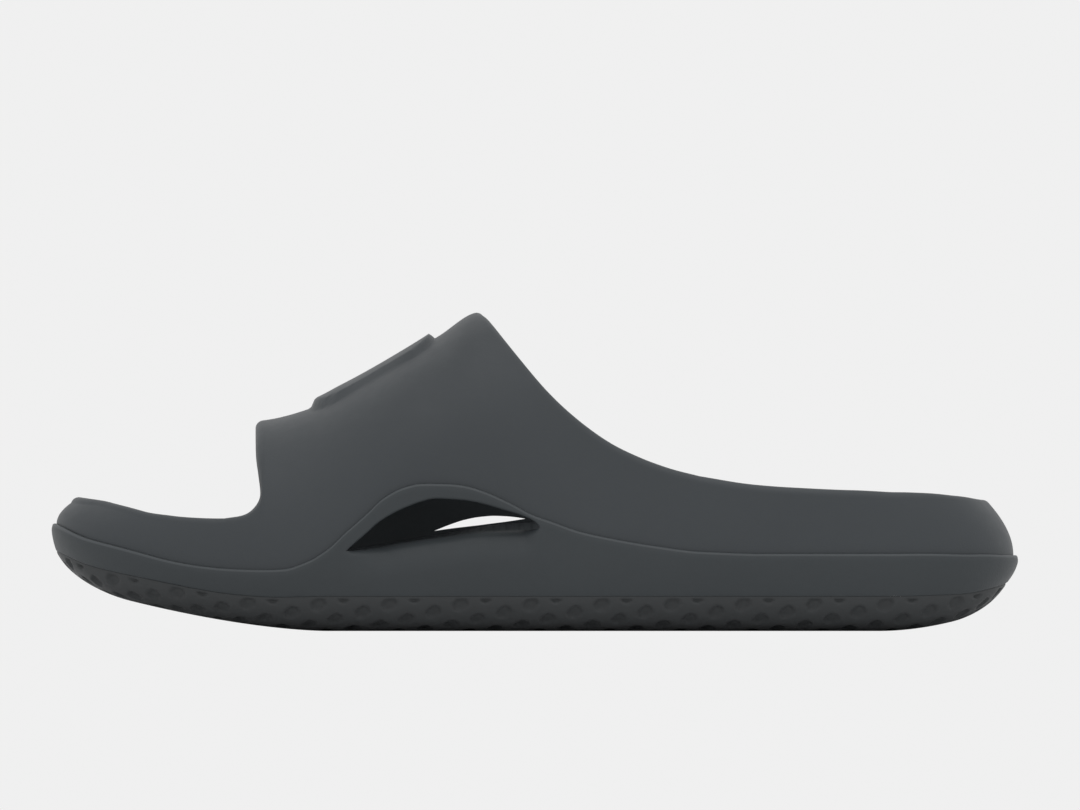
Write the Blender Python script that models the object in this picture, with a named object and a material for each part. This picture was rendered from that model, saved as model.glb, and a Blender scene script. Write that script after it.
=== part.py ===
"""Left sport slide sandal: a moulded strap and rim on a curved foam sole with a lugged tread.

Frame: metres, +Z up, toe at -X, heel at +X, outer (lateral) side at -Y, inner (medial) side at +Y.
The origin is on the floor, under the middle of the shoe's box.
"""
from collections import namedtuple
from math import asin, cos, hypot, pi, sin

import bmesh
import bpy
from mathutils import Vector

# Overall sizes
LENGTH = 0.2912
BALL_WIDTH = 0.1083
HEEL_WIDTH = 0.078
TOE_ROUND = 0.062
HEEL_ROUND = 0.042
END_POWER = 2.3

# Sole: ground line, tread, side
TOE_SPRING = 0.0157
TOE_ROCKER = 0.083
TOE_ROCKER_POWER = 1.62
HEEL_SPRING = 0.0098
HEEL_ROCKER = 0.042
HEEL_ROCKER_POWER = 1.92
TOE_NOSE_RISE = 0.0120
TOE_NOSE = 0.024
HEEL_NOSE_RISE = 0.0122
HEEL_NOSE = 0.020
TREAD_HEIGHT = 0.0102
TREAD_ROUND = 0.0120
TREAD_STEP = 0.0004
SIDE_DEPTH = 0.0133
SIDE_TUCK = 0.0016
HEEL_TUCK = 0.0024
PARTING_TUCK = 0.0006
ARCH_RISE = 0.0234

# Upper: strap and rim
WALL = 0.0050
PARTING_STEP = 0.0010
RIM_RISE = 0.0172
STRAP_RISE = 0.0548
PAD_HEIGHT = 0.0017
PAD_FLARE = 0.55
PAD_LENGTH = 0.0376
PAD_WIDTH = 0.0400
PAD_BEVEL = 0.0026
PAD_PLACE = 0.3320
FRONT_STATION = 0.2187
FRONT_FOOT = 0.2450
PEAK_STATION = 0.4370
PEAK_FOOT = 0.4250

# Cut-outs in the sides and the scoop under each
CUTOUT_HEIGHT = 0.0119
SCOOP_DEPTH = 0.0042

# Footbed
FOOTBED_HEIGHT = 0.0280
FOOTBED_THICKNESS = 0.0040
HEEL_CUP = 0.0022
ARCH_SUPPORT = 0.0026

CLEARANCE = 0.0003
FIT = 0.0008
WELD = 0.000004
LATERAL = -1
MEDIAL = 1

# Mesh fineness
RIM_COLUMNS_TOE = 12
EDGE_COLUMNS_FRONT = 8
CROWN_COLUMNS = 12
EDGE_COLUMNS_THROAT = 12
RIM_COLUMNS_HEEL = 12
EDGE_CROWDING = 1.6
UPPER_ROWS = 7
ROLL_ROWS = 3
CUTOUT_COLUMNS = 16
ROUND_ROWS = 4
ACROSS = 6
SIDE_ROWS = (0.3, 0.6, 0.85, 1.0)

# Plan: centre line as shares of BALL_WIDTH, half-width as shares of half the ball and heel widths
Plan = namedtuple("Plan", "station centre ball heel")
PLAN = [
    Plan(0.00, 0.050, 0.86, 0.000),
    Plan(0.12, 0.040, 0.91, 0.000),
    Plan(0.28, 0.010, 1.00, 0.000),
    Plan(0.40, -0.010, 0.97, 0.000),
    Plan(0.55, -0.024, 0.45, 0.540),
    Plan(0.70, -0.020, 0.12, 0.895),
    Plan(0.85, -0.006, 0.00, 1.020),
    Plan(1.00, 0.000, 0.00, 0.970),
]

# Tread line above the ground line's rocker, as shares of TREAD_HEIGHT
Tread = namedtuple("Tread", "station rise")
TREAD = [
    Tread(0.000, 0.80), Tread(0.035, 0.655), Tread(0.100, 0.725), Tread(0.170, 0.765), Tread(0.220, 0.845),
    Tread(0.287, 1.00), Tread(0.880, 1.00), Tread(0.910, 0.88), Tread(0.960, 0.60), Tread(1.000, 0.43),
]

# Parting line above the tread line: side as shares of SIDE_DEPTH, arch as shares of ARCH_RISE
Parting = namedtuple("Parting", "station side arch")
PARTING = [
    Parting(0.000, 0.64, 0.000), Parting(0.056, 0.62, 0.000), Parting(0.128, 0.54, 0.000),
    Parting(0.206, 0.61, 0.000), Parting(0.240, 0.65, 0.000), Parting(0.2635, 0.68, 0.066),
    Parting(0.285, 0.70, 0.209), Parting(0.305, 0.72, 0.427), Parting(0.325, 0.74, 0.635),
    Parting(0.344, 0.76, 0.842), Parting(0.363, 0.78, 0.958), Parting(0.381, 0.80, 1.000),
    Parting(0.409, 0.83, 0.982), Parting(0.427, 0.85, 0.947), Parting(0.448, 0.87, 0.858),
    Parting(0.474, 0.89, 0.703), Parting(0.497, 0.91, 0.540), Parting(0.518, 0.93, 0.437),
    Parting(0.544, 0.95, 0.310), Parting(0.570, 0.97, 0.223), Parting(0.621, 0.99, 0.099),
    Parting(0.675, 1.00, 0.013), Parting(0.730, 0.98, 0.000), Parting(0.880, 0.98, 0.000),
    Parting(0.930, 0.94, 0.000), Parting(0.960, 0.88, 0.000), Parting(1.000, 0.65, 0.000),
]

# Line that the strap's crown follows, carried on past the strap as the form of the instep:
# rim as shares of RIM_RISE, strap as shares of STRAP_RISE; bow is how far the walls lean in
Crown = namedtuple("Crown", "station rim strap bow")
CROWN = [
    Crown(0.00, 1.0, 0.37, 3.10), Crown(0.06, 1.0, 0.37, 2.00), Crown(0.14, 1.0, 0.385, 1.10),
    Crown(0.218, 1.0, 0.414, 0.86), Crown(0.265, 1.0, 0.475, 0.86), Crown(0.30, 1.0, 0.577, 0.86),
    Crown(0.352, 1.0, 0.733, 0.86), Crown(0.400, 1.0, 0.876, 0.86), Crown(0.4385, 1.0, 1.006, 0.86),
    Crown(0.52, 1.0, 1.07, 0.86), Crown(0.62, 1.0, 1.07, 0.90), Crown(0.80, 1.0, 0.95, 1.00),
    Crown(0.93, 1.0, 0.80, 2.80), Crown(1.00, 1.0, 0.72, 5.20),
]

# Free edge of rim and strap, seen from the side, above the parting line:
# rim as shares of RIM_RISE, strap as shares of STRAP_RISE
Edge = namedtuple("Edge", "station rim strap")
TOE_RIM = [
    Edge(0.000, 0.360, 0.0), Edge(0.032, 0.545, 0.0), Edge(0.057, 0.570, 0.0), Edge(0.080, 0.578, 0.0),
    Edge(0.111, 0.646, 0.0), Edge(0.142, 0.710, 0.0), Edge(0.175, 0.766, 0.0),
]
FRONT_EDGE = [
    Edge(0.175, 0.766, 0.0), Edge(0.198, 0.850, 0.0), Edge(0.2120, 0.985, 0.0), Edge(0.221, 1.000, 0.060),
    Edge(0.224, 1.000, 0.130), Edge(0.222, 1.000, 0.239), Edge(0.2195, 1.000, 0.349),
]
THROAT_EDGE = [
    Edge(0.4466, 1.0, 0.622), Edge(0.478, 1.0, 0.4905), Edge(0.509, 1.0, 0.369), Edge(0.5415, 1.0, 0.266),
    Edge(0.5737, 1.0, 0.180), Edge(0.6058, 1.0, 0.125), Edge(0.638, 1.0, 0.087), Edge(0.669, 1.0, 0.063),
]
HEEL_RIM = [
    Edge(0.669, 1.00, 0.063), Edge(0.7147, 1.0, 0.033), Edge(0.7635, 1.0, 0.012), Edge(0.8268, 0.993, 0.0),
    Edge(0.8734, 0.970, 0.0), Edge(0.920, 0.970, 0.0), Edge(0.951, 0.955, 0.0), Edge(1.000, 0.913, 0.0),
]

# Each cut-out: lower lip above the tread line as shares of SIDE_DEPTH, opening as shares of
# CUTOUT_HEIGHT
Cutout = namedtuple("Cutout", "station lip open")
LATERAL_CUTOUT = [
    Cutout(0.3045, 1.045, 0.00), Cutout(0.324, 1.080, 0.37), Cutout(0.340, 1.130, 0.655),
    Cutout(0.360, 1.215, 0.84), Cutout(0.381, 1.290, 0.96), Cutout(0.393, 1.325, 1.00),
    Cutout(0.414, 1.390, 0.92), Cutout(0.440, 1.480, 0.74), Cutout(0.464, 1.505, 0.55),
    Cutout(0.487, 1.520, 0.36), Cutout(0.500, 1.540, 0.18), Cutout(0.5055, 1.580, 0.00),
]
MEDIAL_CUTOUT = [
    Cutout(0.3960, 1.500, 0.00), Cutout(0.4120, 1.550, 0.10), Cutout(0.4270, 1.590, 0.175),
    Cutout(0.4410, 1.625, 0.205), Cutout(0.4530, 1.660, 0.195), Cutout(0.4690, 1.705, 0.14),
    Cutout(0.4800, 1.740, 0.075), Cutout(0.4900, 1.775, 0.00),
]
CUTOUTS = {LATERAL: LATERAL_CUTOUT, MEDIAL: MEDIAL_CUTOUT}

# Footbed: middle height as shares of FOOTBED_HEIGHT, then how much of the heel cup and of the arch
# support its edge has
Footbed = namedtuple("Footbed", "station middle cup support")
FOOTBED = [
    Footbed(0.00, 1.055, 0.40, 0.00), Footbed(0.09, 0.950, 0.30, 0.00), Footbed(0.15, 0.885, 0.30, 0.00),
    Footbed(0.22, 0.860, 0.25, 0.00), Footbed(0.30, 0.865, 0.10, 0.10), Footbed(0.36, 0.920, 0.00, 0.45),
    Footbed(0.42, 1.000, 0.00, 0.80), Footbed(0.47, 1.065, 0.00, 1.00), Footbed(0.55, 1.080, 0.25, 0.80),
    Footbed(0.67, 1.060, 0.60, 0.30), Footbed(0.80, 1.020, 0.90, 0.00), Footbed(0.90, 1.000, 1.00, 0.00),
    Footbed(1.00, 1.030, 1.00, 0.00),
]


def clamp(value, low=0.0, high=1.0):
    return max(low, min(high, value))


def ease(value):
    """Soft step from 0 to 1."""
    value = clamp(value)
    return value * value * (3.0 - 2.0 * value)


def read(table, column, station):
    """Smooth reading of one column: cubic pieces that never overshoot their rows."""
    stations = [row.station for row in table]
    values = [getattr(row, column) for row in table]
    station = clamp(station, stations[0], stations[-1])
    last = len(stations) - 2
    i = 0
    while i < last and station > stations[i + 1]:
        i += 1
    slopes = [(values[k + 1] - values[k]) / (stations[k + 1] - stations[k]) for k in range(last + 1)]

    def tangent(k):
        if k == 0:
            return slopes[0]
        if k == last + 1:
            return slopes[last]
        if slopes[k - 1] * slopes[k] <= 0.0:
            return 0.0
        return 2.0 * slopes[k - 1] * slopes[k] / (slopes[k - 1] + slopes[k])

    step = stations[i + 1] - stations[i]
    t = (station - stations[i]) / step
    start, end = tangent(i) * step, tangent(i + 1) * step
    a, b = values[i], values[i + 1]
    return (a * (2 * t ** 3 - 3 * t ** 2 + 1) + start * (t ** 3 - 2 * t ** 2 + t)
            + b * (3 * t ** 2 - 2 * t ** 3) + end * (t ** 3 - t ** 2))


def path_through(points, shares):
    """Points at shares of the length of a smooth curve through the points."""
    ends = [2 * points[0] - points[1]] + list(points) + [2 * points[-1] - points[-2]]
    fine = []
    for k in range(1, len(ends) - 2):
        for step in range(12):
            t = step / 12
            p0, p1, p2, p3 = ends[k - 1], ends[k], ends[k + 1], ends[k + 2]
            fine.append(0.5 * (2 * p1 + (p2 - p0) * t + (2 * p0 - 5 * p1 + 4 * p2 - p3) * t ** 2
                               + (3 * p1 - p0 - 3 * p2 + p3) * t ** 3))
    fine.append(points[-1])
    lengths = [0.0]
    for a, b in zip(fine, fine[1:]):
        lengths.append(lengths[-1] + (b - a).length)
    result = []
    k = 0
    for share in shares:
        target = lengths[-1] * share
        while k < len(fine) - 2 and lengths[k + 1] < target:
            k += 1
        t = (target - lengths[k]) / (lengths[k + 1] - lengths[k])
        result.append(fine[k].lerp(fine[k + 1], clamp(t)))
    return result


def end_round(distance, length):
    """Half-width factor of a rounded end."""
    if distance >= length:
        return 1.0
    return max(0.0, 1.0 - (1.0 - distance / length) ** END_POWER) ** (1.0 / END_POWER)


def along(station):
    return (station - 0.5) * LENGTH


def half_width(station):
    full = read(PLAN, "ball", station) * BALL_WIDTH / 2 + read(PLAN, "heel", station) * HEEL_WIDTH / 2
    return full * end_round(station * LENGTH, TOE_ROUND) * end_round((1 - station) * LENGTH, HEEL_ROUND)


def centre(station):
    return read(PLAN, "centre", station) * BALL_WIDTH


def middle_shift():
    """Sideways shift that puts the middle of the outline's box at Y = 0."""
    stations = [k / 200 for k in range(201)]
    low = min(centre(s) - half_width(s) for s in stations)
    high = max(centre(s) + half_width(s) for s in stations)
    return -(low + high) / 2


SHIFT = middle_shift()


def spine(station):
    return clamp(station, TOE_ROUND / LENGTH, 1 - HEEL_ROUND / LENGTH)


def reach(station):
    """Distance from the spine to the outline."""
    return hypot(along(station) - along(spine(station)), half_width(station))


def slant(station):
    """How much longer an inset gets when it is measured towards the spine."""
    before, after = clamp(station - 0.002, 0.0005), clamp(station + 0.002, 0.0, 0.9995)
    run = Vector((along(after) - along(before), half_width(after) - half_width(before))).normalized()
    radial = Vector((along(station) - along(spine(station)), half_width(station))).normalized()
    return 1.0 / max(0.5, abs(run.x * radial.y - run.y * radial.x))


def plan(station, side, inset):
    """Plan point of a station, inset from the outline towards the spine."""
    return plan_share(station, side, 1.0 - inset * slant(station) / reach(station))


def plan_share(station, side, share):
    root = spine(station)
    x = along(root) + (along(station) - along(root)) * share
    outer = centre(station) + side * half_width(station)
    y = centre(root) + (outer - centre(root)) * share
    return x, y + SHIFT


def rocker(x):
    toe = clamp(1 - (x + LENGTH / 2) / TOE_ROCKER)
    heel = clamp(1 - (LENGTH / 2 - x) / HEEL_ROCKER)
    return TOE_SPRING * toe ** TOE_ROCKER_POWER + HEEL_SPRING * heel ** HEEL_ROCKER_POWER


def ground(x):
    """Height of the sole's bottom."""
    toe = clamp(1 - (x + LENGTH / 2) / TOE_NOSE)
    heel = clamp(1 - (LENGTH / 2 - x) / HEEL_NOSE)
    noses = TOE_NOSE_RISE * (1 - (1 - toe ** 2) ** 0.5) + HEEL_NOSE_RISE * (1 - (1 - heel ** 2) ** 0.5)
    return rocker(x) + noses


def tread_line(station):
    return rocker(along(station)) + read(TREAD, "rise", station) * TREAD_HEIGHT


def parting_line(station):
    side = read(PARTING, "side", station) * SIDE_DEPTH
    return tread_line(station) + side + read(PARTING, "arch", station) * ARCH_RISE


def crown_line(station):
    base = TREAD_HEIGHT + SIDE_DEPTH
    return (base + read(CROWN, "rim", station) * RIM_RISE + read(CROWN, "strap", station) * STRAP_RISE)


def pad(station, from_crown):
    """Height of the plain raised pad on the strap."""
    along_pad = abs((station - PAD_PLACE) * LENGTH) / (PAD_LENGTH / 2)
    across_pad = abs(from_crown) / (PAD_WIDTH / 2)
    inside = 1.0 - (along_pad ** 4 + across_pad ** 4) ** 0.25
    flare = 1.0 + PAD_FLARE * along_pad ** 2
    return PAD_HEIGHT * flare * ease(inside * PAD_LENGTH / 2 / PAD_BEVEL)


def dome(station, side, angle):
    """Outer face of the upper: angle 0 on the parting line, a right angle on the crown."""
    low = parting_line(station)
    rise = crown_line(station) - low
    base = 1.0 - (PARTING_TUCK + PARTING_STEP) * slant(station) / reach(station)
    share = base * max(0.0, cos(angle)) ** read(CROWN, "bow", station)
    lift = pad(station, share * half_width(station))
    x, y = plan_share(station, side, share)
    return Vector((x, y, low + rise * sin(angle) + lift))


def edge_angle(station, height):
    low = parting_line(station)
    return asin(clamp((height - low) / (crown_line(station) - low)))


def edge_height(rows, station):
    """Height of a free edge, where the wall starts to roll over."""
    rim, strap = read(rows, "rim", station), read(rows, "strap", station)
    return parting_line(station) + rim * RIM_RISE + strap * STRAP_RISE


def edge_points(rows):
    points = []
    for row in rows:
        height = parting_line(row.station) + row.rim * RIM_RISE + row.strap * STRAP_RISE
        points.append(Vector((row.station, height / LENGTH)))
    return points


def columns():
    """(foot station, top station, angle) of each column of the upper, from toe to heel."""
    result = []
    for k in range(RIM_COLUMNS_TOE):
        station = TOE_RIM[-1].station * (1 - cos(pi / 2 * k / RIM_COLUMNS_TOE))
        result.append((station, station, edge_angle(station, edge_height(TOE_RIM, station))))
    front = Vector((FRONT_STATION, crown_line(FRONT_STATION) / LENGTH))
    shares = [1 - (1 - k / EDGE_COLUMNS_FRONT) ** EDGE_CROWDING for k in range(EDGE_COLUMNS_FRONT)]
    points = path_through(edge_points(FRONT_EDGE) + [front], shares)
    for k, p in enumerate(points):
        foot = TOE_RIM[-1].station + (FRONT_FOOT - TOE_RIM[-1].station) * k / EDGE_COLUMNS_FRONT
        result.append((foot, p.x, edge_angle(p.x, p.y * LENGTH)))
    for k in range(CROWN_COLUMNS):
        share = k / CROWN_COLUMNS
        foot = FRONT_FOOT + (PEAK_FOOT - FRONT_FOOT) * share
        result.append((foot, FRONT_STATION + (PEAK_STATION - FRONT_STATION) * share, pi / 2))
    peak = Vector((PEAK_STATION, crown_line(PEAK_STATION) / LENGTH))
    shares = [(k / EDGE_COLUMNS_THROAT) ** EDGE_CROWDING for k in range(EDGE_COLUMNS_THROAT)]
    points = path_through([peak] + edge_points(THROAT_EDGE), shares)
    for k, p in enumerate(points):
        foot = PEAK_FOOT + (HEEL_RIM[0].station - PEAK_FOOT) * k / EDGE_COLUMNS_THROAT
        angle = edge_angle(p.x, p.y * LENGTH) if k else pi / 2
        result.append((foot, p.x, angle))
    for k in range(RIM_COLUMNS_HEEL + 1):
        span = 1 - HEEL_RIM[0].station
        station = HEEL_RIM[0].station + span * sin(pi / 2 * k / RIM_COLUMNS_HEEL)
        result.append((station, station, edge_angle(station, edge_height(HEEL_RIM, station))))
    return result


COLUMNS = columns()


def new_solid(name, colour, roughness):
    """Empty mesh object with its own material."""
    mesh = bpy.data.meshes.new(name)
    item = bpy.data.objects.new(name, mesh)
    bpy.context.collection.objects.link(item)
    material = bpy.data.materials.new(name)
    material.use_nodes = True
    shader = material.node_tree.nodes["Principled BSDF"]
    shader.inputs["Base Color"].default_value = (*colour, 1.0)
    shader.inputs["Roughness"].default_value = roughness
    shader.inputs["Metallic"].default_value = 0.0
    mesh.materials.append(material)
    return item


def add_sheet(skin, rows):
    """Quads between the rows of points."""
    grid = [[skin.verts.new(p) for p in row] for row in rows]
    for upper, lower in zip(grid, grid[1:]):
        for k in range(len(upper) - 1):
            skin.faces.new((upper[k], upper[k + 1], lower[k + 1], lower[k]))


def close(skin, item):
    """Weld the sheets into one closed skin that faces outward."""
    bmesh.ops.remove_doubles(skin, verts=skin.verts, dist=WELD)
    bmesh.ops.dissolve_degenerate(skin, edges=skin.edges, dist=WELD)
    bmesh.ops.triangulate(skin, faces=skin.faces)
    bmesh.ops.recalc_face_normals(skin, faces=skin.faces)
    skin.to_mesh(item.data)
    skin.free()
    item.data.shade_smooth()
    item.data.set_sharp_from_angle(angle=pi / 5)


def outward(station, side, angle):
    """Normal of the upper's outer face."""
    reach_along, reach_round = 0.002, 0.02
    before, after = clamp(station - reach_along), clamp(station + reach_along)
    low, high = max(angle - reach_round, 0.0), min(angle + reach_round, pi / 2)
    run = dome(after, side, angle) - dome(before, side, angle)
    climb = dome(station, side, high) - dome(station, side, low)
    if angle == pi / 2:
        return Vector((-run.z, 0, run.x)).normalized()
    if station in (0, 1):
        return Vector((-climb.z, 0, climb.x)).normalized() * (1 - 2 * station)
    return (run.cross(climb) * -side).normalized()


FRONT = RIM_COLUMNS_TOE + EDGE_COLUMNS_FRONT
PEAK = FRONT + CROWN_COLUMNS
LAST = PEAK + EDGE_COLUMNS_THROAT + RIM_COLUMNS_HEEL


def upper_sheets(side):
    """Outer and inner points of one half of the upper, a row of points for each column."""
    outer, inner = [], []
    for foot, station, angle in COLUMNS:
        base = plan(foot, side, PARTING_TUCK + PARTING_STEP + WALL)
        faces = [dome(foot, side, 0)]
        backs = [Vector((*base, parting_line(foot)))]
        for k in range(1, UPPER_ROWS + 1):
            t = k / UPPER_ROWS
            here = foot + (station - foot) * t
            point = dome(here, side, angle * t)
            normal = outward(here, side, angle * t)
            normal.z *= ease((point.z - parting_line(foot)) / (4 * WALL))
            faces.append(point)
            backs.append(point - normal.normalized() * WALL)
        outer.append(faces)
        inner.append(backs)
    return outer, inner


def rolled_edge(outer, inner, first, last, side):
    """Arcs from the outer to the inner face along one free edge."""
    arcs = []
    for i in range(first, last + 1):
        out, back = outer[i][-1], inner[i][-1]
        middle, face = (out + back) / 2, (out - back) / 2
        tangent = outer[min(i + 1, last)][-1] - outer[max(i - 1, first)][-1]
        if i == first:
            tangent = Vector((0, side, 0))
        if i == last:
            tangent = Vector((0, -side, 0))
        lift = face.cross(tangent).normalized() * face.length * -side
        arc = [out]
        for k in range(1, ROLL_ROWS):
            turn = pi * k / ROLL_ROWS
            arc.append(middle + face * cos(turn) + lift * sin(turn))
        arcs.append(arc + [back])
    return arcs


def build_upper():
    item = new_solid("upper", (0.042, 0.048, 0.053), 0.52)
    skin = bmesh.new()
    for side in (LATERAL, MEDIAL):
        outer, inner = upper_sheets(side)
        add_sheet(skin, outer)
        add_sheet(skin, inner)
        add_sheet(skin, [[a[0], b[0]] for a, b in zip(outer, inner)])
        add_sheet(skin, rolled_edge(outer, inner, 0, FRONT, side))
        add_sheet(skin, rolled_edge(outer, inner, PEAK, LAST, side))
    close(skin, item)
    return item


def under_tuck(station):
    """How far the sole's side stands in at the tread line, which is more round the heel."""
    return SIDE_TUCK + HEEL_TUCK * ease((station - 0.9) / 0.1) * (1 - sideways(station))


def side_inset(station, side, height):
    """How far the sole's side stands in from the outline at a height."""
    low, high = tread_line(station), parting_line(station)
    climb = clamp((height - low) / min(SIDE_DEPTH, high - low))
    tuck = under_tuck(station) * (1 - climb) ** 2
    tuck += PARTING_TUCK * clamp(1 - (high - height) / (4 * PARTING_TUCK)) ** 2
    return tuck + scoop(station, side, height)


def scoop(station, side, height):
    """Hollow that leads up to the lower lip of a cut-out."""
    rows = CUTOUTS[side]
    first, last = rows[0].station, rows[-1].station
    if not first < station < last:
        return 0.0
    window = ease((station - first) / 0.045) * ease((last - station) / 0.020)
    lip = tread_line(station) + read(rows, "lip", station) * SIDE_DEPTH
    top = lip + read(rows, "open", station) * CUTOUT_HEIGHT
    if height <= lip:
        return SCOOP_DEPTH * window * clamp((height - lip + 0.75 * SIDE_DEPTH) / (0.75 * SIDE_DEPTH)) ** 2
    return SCOOP_DEPTH * window * clamp((top - height) / max(top - lip, WELD))


def inner_inset(station, height):
    """How far the inner face of the wall stands in from the outline at a height."""
    straight = PARTING_TUCK + PARTING_STEP
    low = parting_line(station)
    if height <= low:
        return straight + WALL

    def lean(at):
        return reach(station) * (1 - cos(edge_angle(station, at)) ** read(CROWN, "bow", station))

    slope = (lean(height + FIT) - lean(height)) / FIT
    return straight + lean(height) / slant(station) + WALL * hypot(1, slope)


def sideways(station):
    """1 where the outline runs lengthwise, 0 at the tips of toe and heel."""
    return half_width(station) / reach(station)


def footbed_height(station, across):
    """Top of the footbed: across runs from -1 at the outer edge to 1 at the inner edge."""
    height = read(FOOTBED, "middle", station) * FOOTBED_HEIGHT
    rim = 1 - (1 - abs(across) ** 2.5) * sideways(station)
    height += HEEL_CUP * read(FOOTBED, "cup", station) * rim
    if across > 0:
        height += ARCH_SUPPORT * read(FOOTBED, "support", station) * across ** 2 * sideways(station)
    return height


def strip(station, inset, height_at):
    """Points straight across the shoe at a station; height_at takes the share across."""
    points = []
    for k in range(ACROSS + 1):
        across = 2 * k / ACROSS - 1
        left = plan(station, LATERAL, inset(LATERAL))
        right = plan(station, MEDIAL, inset(MEDIAL))
        t = (across + 1) / 2
        x = left[0] + (right[0] - left[0]) * t
        points.append(Vector((x, left[1] + (right[1] - left[1]) * t, height_at(across, x))))
    return points


def edges_of(strips):
    """Both edges of a row of strips."""
    return {LATERAL: [s[0] for s in strips], MEDIAL: [s[-1] for s in strips]}


def build_outsole():
    item = new_solid("outsole", (0.030, 0.033, 0.035), 0.56)
    skin = bmesh.new()
    stations = [foot for foot, station, angle in COLUMNS]
    tops, floors = [], []
    for s in stations:
        edge = under_tuck(s) + TREAD_STEP
        tops.append(strip(s, lambda side, edge=edge: edge, lambda across, x, s=s: tread_line(s)))
        floors.append(strip(s, lambda side, edge=edge: edge + TREAD_ROUND, lambda across, x: ground(x)))
    add_sheet(skin, tops)
    add_sheet(skin, floors)
    for side in (LATERAL, MEDIAL):
        rows = []
        for station, top, floor in zip(stations, edges_of(tops)[side], edges_of(floors)[side]):
            row = [top]
            for k in range(1, ROUND_ROWS):
                turn = pi / 2 * k / ROUND_ROWS
                edge = under_tuck(station) + TREAD_STEP
                x, y = plan(station, side, edge + TREAD_ROUND * (1 - cos(turn)))
                level = 1 - sin(turn)
                share = level * sideways(station) + level ** 3 * (1 - sideways(station))
                row.append(Vector((x, y, ground(x) + (tread_line(station) - ground(x)) * share)))
            rows.append(row + [floor])
        add_sheet(skin, rows)
    close(skin, item)
    return item


def build_midsole():
    item = new_solid("midsole", (0.036, 0.042, 0.046), 0.52)
    skin = bmesh.new()
    stations = [foot for foot, station, angle in COLUMNS]
    under = [strip(s, lambda side, s=s: under_tuck(s), lambda across, x, s=s: tread_line(s) + CLEARANCE)
             for s in stations]
    drop = FOOTBED_THICKNESS + CLEARANCE
    deck = []
    for s in stations:
        deck.append(strip(s, lambda side, s=s: deck_inset(s, side),
                          lambda across, x, s=s: footbed_height(s, across) - drop))
    add_sheet(skin, under)
    add_sheet(skin, deck)
    for side in (LATERAL, MEDIAL):
        rows = []
        for n, station in enumerate(stations):
            low, high = tread_line(station) + CLEARANCE, parting_line(station)
            row = [edges_of(under)[side][n]]
            for share in SIDE_ROWS:
                height = low + (high - low) * share
                row.append(Vector((*plan(station, side, side_inset(station, side, height)), height)))
            ledge = high - CLEARANCE
            for inset in (PARTING_TUCK + PARTING_STEP, PARTING_TUCK + PARTING_STEP + WALL + FIT):
                row.append(Vector((*plan(station, side, inset), ledge)))
            inner_edge = edges_of(deck)[side][n]
            for share in (0.33, 0.67):
                height = ledge + (inner_edge.z - ledge) * share
                row.append(Vector((*plan(station, side, inner_inset(station, height) + FIT), height)))
            rows.append(row + [inner_edge])
        add_sheet(skin, rows)
    close(skin, item)
    for side in (LATERAL, MEDIAL):
        cut = item.modifiers.new("cutout", "BOOLEAN")
        cut.operation = "DIFFERENCE"
        cut.solver = "EXACT"
        cut.object = build_cutter(side)
    return item


def deck_inset(station, side):
    height = footbed_height(station, side) - FOOTBED_THICKNESS - CLEARANCE
    return inner_inset(station, height) + FIT


def build_cutter(side):
    """Prism through one wall with the outline of its cut-out."""
    rows = CUTOUTS[side]
    first, last = rows[0].station, rows[-1].station
    stations = [first + (last - first) * (0.5 - 0.5 * cos(pi * k / CUTOUT_COLUMNS))
                for k in range(CUTOUT_COLUMNS + 1)]
    skin = bmesh.new()
    sheets = []
    for reach_in in (-WALL, 2.6 * WALL):
        lips, tops = [], []
        for station in stations:
            x, y = plan(station, side, reach_in)
            lip = tread_line(station) + read(rows, "lip", station) * SIDE_DEPTH
            lips.append(Vector((x, y, lip)))
            tops.append(Vector((x, y, lip + read(rows, "open", station) * CUTOUT_HEIGHT)))
        sheets.append((lips, tops))
    (lips, tops), (inner_lips, inner_tops) = sheets
    for pair in ((lips, tops), (inner_lips, inner_tops), (lips, inner_lips), (tops, inner_tops)):
        add_sheet(skin, [list(points) for points in zip(*pair)])
    mesh = bpy.data.meshes.new("cutter")
    cutter = bpy.data.objects.new("cutter", mesh)
    bpy.context.collection.objects.link(cutter)
    cutter.hide_render = True
    cutter.display_type = "WIRE"
    close(skin, cutter)
    return cutter


def build_footbed():
    item = new_solid("footbed", (0.038, 0.044, 0.048), 0.66)
    skin = bmesh.new()
    stations = [foot for foot, station, angle in COLUMNS]
    tops, unders = [], []
    for s in stations:
        tops.append(strip(s, lambda side, s=s: inner_inset(s, footbed_height(s, side)) + 2.5 * FIT,
                          lambda across, x, s=s: footbed_height(s, across)))
        unders.append(strip(s, lambda side, s=s: inner_inset(s, footbed_height(s, side)) + 2.5 * FIT,
                            lambda across, x, s=s: footbed_height(s, across) - FOOTBED_THICKNESS))
    add_sheet(skin, tops)
    add_sheet(skin, unders)
    for side in (0, -1):
        add_sheet(skin, [[a[side], b[side]] for a, b in zip(tops, unders)])
    close(skin, item)
    return item


def remove_all():
    for item in list(bpy.data.objects):
        bpy.data.objects.remove(item, do_unlink=True)


def main():
    remove_all()
    build_upper()
    build_midsole()
    build_outsole()
    build_footbed()


main()
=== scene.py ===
"""Looks of a left sport slide sandal: fine skins over its upper, midsole, tread and footbed.

Metres, toe at -X, heel at +X, outer (lateral) side at -Y, inner (medial) side at +Y, floor at Z = 0.
The forms follow the solids' formulas, read on fine grids, with rounded edges and the tread's pockets
added. Three things differ from the solids: the tread's step, the pad's bevel and the tread line's rise
in front of the heel.
"""
from collections import namedtuple

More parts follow.
